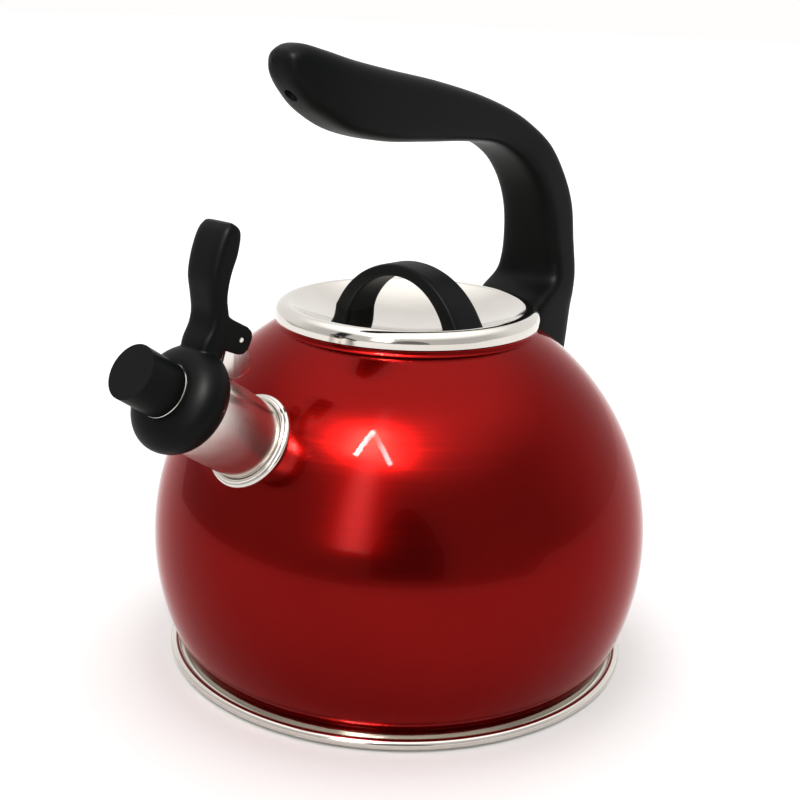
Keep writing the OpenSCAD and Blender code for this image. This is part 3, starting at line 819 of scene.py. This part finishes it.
def make_whistle():
    front = (10.6, 7.4)
    back = (7.0, 8.5)
    back_a = math.degrees(math.asin((CAP_BACK - CAP_WIDE) / back[1]))
    front_a = math.degrees(math.asin((CAP_FRONT - CAP_WIDE) / front[1]))
    ring = arc((CAP_R - back[0], CAP_WIDE), back, back_a, 0, 20)
    ring += arc((CAP_R - front[0], CAP_WIDE), front, 4, front_a, 26)
    ring += [(CUP_R - 0.6, CAP_FRONT), (CUP_R - 0.6, WEB_A - 3), (CAP_BORE - 1, WEB_A - 3),
             (CAP_BORE - 1, CAP_BACK)]
    cap = lathe("whistle_body", ring, 144, ALONG_CAP)
    lever = loft("lever", LEVER, 10, 64)
    cheek = rounded([(-98.5, 155.4, 1.0), (-95.2, 153.0, 1.6), (-88.6, 149.4, 2.2), (-87.0, 147.6, 1.6),
                     (-86.9, 145.2, 1.6), (-88.9, 141.4, 1.6), (-91.0, 140.2, 1.6), (-93.4, 140.5, 1.6),
                     (-97.6, 142.3, 0.5), (-101.5, 144.6, 0.5), (-101, 152, 0.5)], 8)
    side_y, inside_y = 7.35, 3.8
    cheeks = [slab("cheek", cheek, y, y + side_y - inside_y, None, 0) for y in (inside_y, -side_y)]
    combine(cap, [lever, *cheeks], "UNION")
    # Rounds the joins of ring, lever and cheeks
    voxel, passes = ((0.36, 7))
    modifier(cap, "REMESH", mode="VOXEL", voxel_size=voxel * MM)
    modifier(cap, "SMOOTH", factor=0.5, iterations=passes)
    slot_x, slot_low, slot_high = PIVOT[0] - 5.15, PIVOT[1] - 15, PIVOT[1] + 7.2
    slot = [(slot_x, slot_low), (slot_x + 20, slot_low), (slot_x + 20, slot_high + 2),
            (slot_x + 4, slot_high + 2), (slot_x, slot_high)]
    gap = slab("cut", slot, -CHEEK_Y, CHEEK_Y, None, 0)
    cuts = [gap, rod("cut", PIN_R + 0.06, -20, 20, ALONG_PIN, 48),
            rod("cut", CAP_BORE, 100, WEB_A, ALONG_SPOUT, 128), rod("cut", CUP_R, 120, 160, ALONG_CAP, 128)]
    combine(cap, cuts, "DIFFERENCE")
    smooth_by_angle(cap.data, 38)
    piece(cap, BLACK, "whistle", "whistle_cap")

    roll = 0.6
    cup = [(CUP_R - 0.5, 138.4), (CUP_R, 138.4), (CUP_R, CAP_FRONT - 0.1)]
    cup += arc((CUP_R - 0.55, CAP_FRONT + 0.02), (roll + 0.1, roll), -10, 200, 18)
    cup += [(CUP_R - 1.0, CAP_FRONT - 0.9), (CUP_R - 0.55, CAP_FRONT - 1.3)]
    piece(lathe("whistle_rim", cup, 128, ALONG_CAP), POLISHED, "whistle", "whistle_cup")
    make_disc("whistle_disc_front", "whistle_front_plate", 143.15, 0.5)
    make_disc("whistle_disc_rear", "whistle_rear_plate", 139.0, 0.3)


def make_disc(name, node, a, raised):
    """A pressed disc with a raised middle and a turned-up lip round its hole."""
    thick, middle = 0.45, 7.2
    top = [(CUP_R - 0.55, a + thick), (middle + 0.35, a + thick), (middle - 0.35, a + thick + raised),
           (HOLE_R + 1.3, a + thick + raised * 1.15), (HOLE_R + 0.55, a + thick + raised * 1.6),
           (HOLE_R, a + thick + raised * 1.45)]
    bottom = [(HOLE_R, a + raised * 1.1), (middle - 0.55, a + raised - 0.05), (middle + 0.15, a),
              (CUP_R - 0.55, a)]
    corners = [(r, z, 0.25) for r, z in top + bottom]
    disc = lathe(name, rounded(corners, 4), 112, ALONG_CAP)
    piece(disc, DISC, "whistle", node)


# ---------------------------------------------------------------- the lid
def make_lid():
    dish_a = math.degrees(math.asin(DISH_EDGE[0] / DISH_R))
    centre = (0, DISH_Z + DISH_R)
    outline = arc(centre, DISH_R, 270, 270 + dish_a, 48)
    outline += arc(ROLL_C, ROLL_R, 115, -8, 36) + [(ROLL_C[0] + 4.1, 139.3), (ROLL_C[0] + 3.95, 138.55),
                                                   (ROLL_C[0] + 3.6, 138.37), (ROLL_C[0] + 3.3, 138.5)]
    outline += arc(ROLL_C, ROLL_R - WALL, -12, 115, 36)
    outline += arc(centre, DISH_R + WALL, 270 + dish_a, 270, 48)
    shell = lathe("lid_dish", outline, 224, None, 28)
    lean = math.degrees(math.asin((KNOB_R - 6.4) / DISH_R))
    cuts = []
    for side in (-1, 1):
        turn = Matrix.Rotation(math.radians(side * lean), 4, "X")
        place = Matrix.Translation((0, 0, DISH_Z + DISH_R)) @ turn @ Matrix.Translation((0, 0, -DISH_R))
        cuts.append(rod("cut", 1.5, -15, 15, place, 48))
    combine(shell, cuts, "DIFFERENCE")
    smooth_by_angle(shell.data, 28)
    piece(shell, POLISHED, "lid", "lid_shell")

    plug_r, bottom = THROAT_R - 0.6, THROAT_BOTTOM + 2
    top = dish_at(plug_r) - WALL
    ledge = COLLAR_TOP + 0.05
    skirt = rounded([
        (plug_r - WALL, bottom, 0.3), (plug_r, bottom, 0.3), (plug_r, bottom + 1.5, 0.3),
        (plug_r + 0.38, bottom + 2.2, 0.4), (plug_r, bottom + 2.9, 0.3), (plug_r, ledge, 0.5),
        (plug_r + 3, ledge, 0.2), (plug_r + 3, ledge + WALL, 0.2), (plug_r, ledge + WALL, 0.3),
        (plug_r, top, 0.1), (plug_r - WALL, top - 0.1, 0.1)], 5)
    piece(lathe("lid_skirt", skirt, 192), POLISHED, "lid", "lid_plug")


def make_knob():
    """The arched strap: a rounded section swept over an arch, its feet cut to the dish."""
    outer_c = KNOB_TOP - KNOB_R
    inner_r = KNOB_R - 9.5
    inner_c = KNOB_TOP - KNOB_T - inner_r
    rings, sides = 96, 48
    top_rise = KNOB_TOP - DISH_Z

    def place(turn, u, v):
        """A point on the strap: u from -1 inside to 1 outside, v across it."""
        c, s = math.cos(turn), math.sin(turn)
        outer = (KNOB_R * c, outer_c + KNOB_R * s)
        inner = (inner_r * c, inner_c + inner_r * s)
        y = (inner[0] + outer[0] + (outer[0] - inner[0]) * u) / 2
        z = (inner[1] + outer[1] + (outer[1] - inner[1]) * u) / 2
        share = min(max((z - DISH_Z) / top_rise, 0), 1)
        width = KNOB_TOP_W + (KNOB_W - KNOB_TOP_W) * math.sqrt(1 - share * share)
        flare = max(0.0, 1 - share / 0.35) ** 2
        return ((width / 2 + 0.9 * flare) * v, y + math.copysign(1.1 * flare, y) * max(u, 0), z)

    grid = []
    for j in range(sides):
        turn = 2 * math.pi * j / sides
        u, v = squared(math.cos(turn), 0.3), squared(math.sin(turn), 0.25)
        low, high = math.radians(2), math.radians(90)
        for _ in range(40):
            mid = (low + high) / 2
            x, y, z = place(mid, u, v)
            if z < dish_at(min(math.hypot(x, y), 45)) - 0.05:
                low = mid
            else:
                high = mid
        grid.append([place(low + (math.pi - 2 * low) * i / (rings - 1), u, v) for i in range(rings)])
    points = [grid[j][i] for i in range(rings) for j in range(sides)]
    faces = [(i * sides + j, i * sides + k, (i + 1) * sides + k, (i + 1) * sides + j)
             for i in range(rings - 1) for j, k in ((j, (j + 1) % sides) for j in range(sides))]
    faces += [tuple(range(sides)), tuple(range(rings * sides - 1, (rings - 1) * sides - 1, -1))]
    knob = new_object("lid_arch", points, faces, None, 40.0)
    piece(knob, BLACK, "lid", "lid_knob")


# ---------------------------------------------------------------- the handle
# The handle's stations, in the same order as the lever's
HANDLE = [
    (-69.3, 235, -69.4, 238, 7, 0.8), (-67.6, 230, -67.4, 240.6, 14, 0.75),
    (-62.8, 224.4, -62, 242.4, 18.5, 0.7), (-54.8, 218.4, -53, 240.6, 22, 0.6),
    (-41, 212, -38, 237, 24, 0.55), (-22, 208.2, -18, 233.4, 24.5, 0.55),
    (0, 207, 4, 229.8, 24.5, 0.55), (22, 206.3, 27, 224.8, 24, 0.5), (40, 204.4, 46, 219, 24, 0.48),
    (53, 198.8, 60.5, 212.4, 24.5, 0.45), (62.2, 191.5, 73.4, 203.6, 26, 0.42),
    (68.6, 182.8, 83.4, 191, 27, 0.4), (72.4, 173, 89.8, 178, 28, 0.4), (74.6, 161, 91.4, 163, 30, 0.4),
    (75.4, 152, 91.6, 152, 33, 0.4), (73.4, 146, 91, 146, 35, 0.4), (64.5, 140, 90.4, 140, 36.5, 0.4),
    (57.5, 133.8, 89.4, 133.8, 37, 0.4), (56.5, 120, 87.4, 120, 37.5, 0.4),
    (56.5, 104, 85, 104, 37.5, 0.4)]
HANG_LOW, HANG_HIGH, HANG_R = (-63.6, 224), (-58.6, 241), 2.5
SCREW_Z, SCREW_R, SCREW_HEAD_R, SCREW_SEAT = (121, 134), 2.0, 3.8, 83.3


def ball(name, radius):
    steps = 96
    profile = [(max(r, 0), z) for r, z in arc((0, BELLY_Z), radius, -90, 90, steps)]
    profile[0] = (0, profile[0][1])
    profile[-1] = (0, profile[-1][1])
    return lathe(name, profile, 256)


def make_handle():
    grip = loft("grip", HANDLE, 12, 96)
    cuts = [ball("cut", BODY_R)]
    lean = math.atan2(HANG_HIGH[0] - HANG_LOW[0], HANG_HIGH[1] - HANG_LOW[1])
    hole = Matrix.Translation((HANG_LOW[0], 0, HANG_LOW[1])) @ Matrix.Rotation(lean, 4, "Y")
    cuts.append(rod("cut", HANG_R, -20, 40, hole, 64))
    cuts.append(slab("cut", [(70.5, 95), (82.5, 95), (82.5, 143), (70.5, 143)], -10.5, 10.5, None, 0))
    lie = Matrix.Rotation(math.radians(90), 4, "Y")
    for z in SCREW_Z:
        cuts.append(rod("cut", SCREW_HEAD_R, SCREW_SEAT, 110, Matrix.Translation((0, 0, z)) @ lie, 64))
    combine(grip, cuts, "DIFFERENCE")
    modifier(grip, "BEVEL", width=0.5 * MM, segments=3, limit_method="ANGLE", angle_limit=math.radians(55))
    smooth_by_angle(grip.data, 40)
    piece(grip, BLACK, "kettle", "handle_grip")

    screws = []
    for z in SCREW_Z:
        place = Matrix.Translation((SCREW_SEAT, 0, z)) @ lie
        head = rounded([
            (0, -9, 0), (SCREW_R, -9, 0.4), (SCREW_R, 0, 0.2), (SCREW_HEAD_R - 0.2, 0, 0.2),
            (SCREW_HEAD_R - 0.2, 1.3, 0.6), (2.1, 2.0, 0.4), (1.8, 1.95, 0.15), (1.75, 0.8, 0.05),
            (0, 0.8, 0)], 5)
        screws.append(lathe("screw", head, 48, place))
    piece(join(screws, "handle_bolts"), SPRING, "kettle", "handle_screws")


# ---------------------------------------------------------------- everything
make_camera()
make_floor()
make_room()
make_lamps()
make_pot()
make_spout()
make_hinge()
make_whistle()
make_lid()
make_knob()
make_handle()

for part in frame["record"]["subparts"]:
    node = nodes[part["node"]]
    node.data.materials.clear()
    node.data.materials.append(SLOT_LOOKS[part["material_slot"]])

scene.view_settings.view_transform = "Standard"
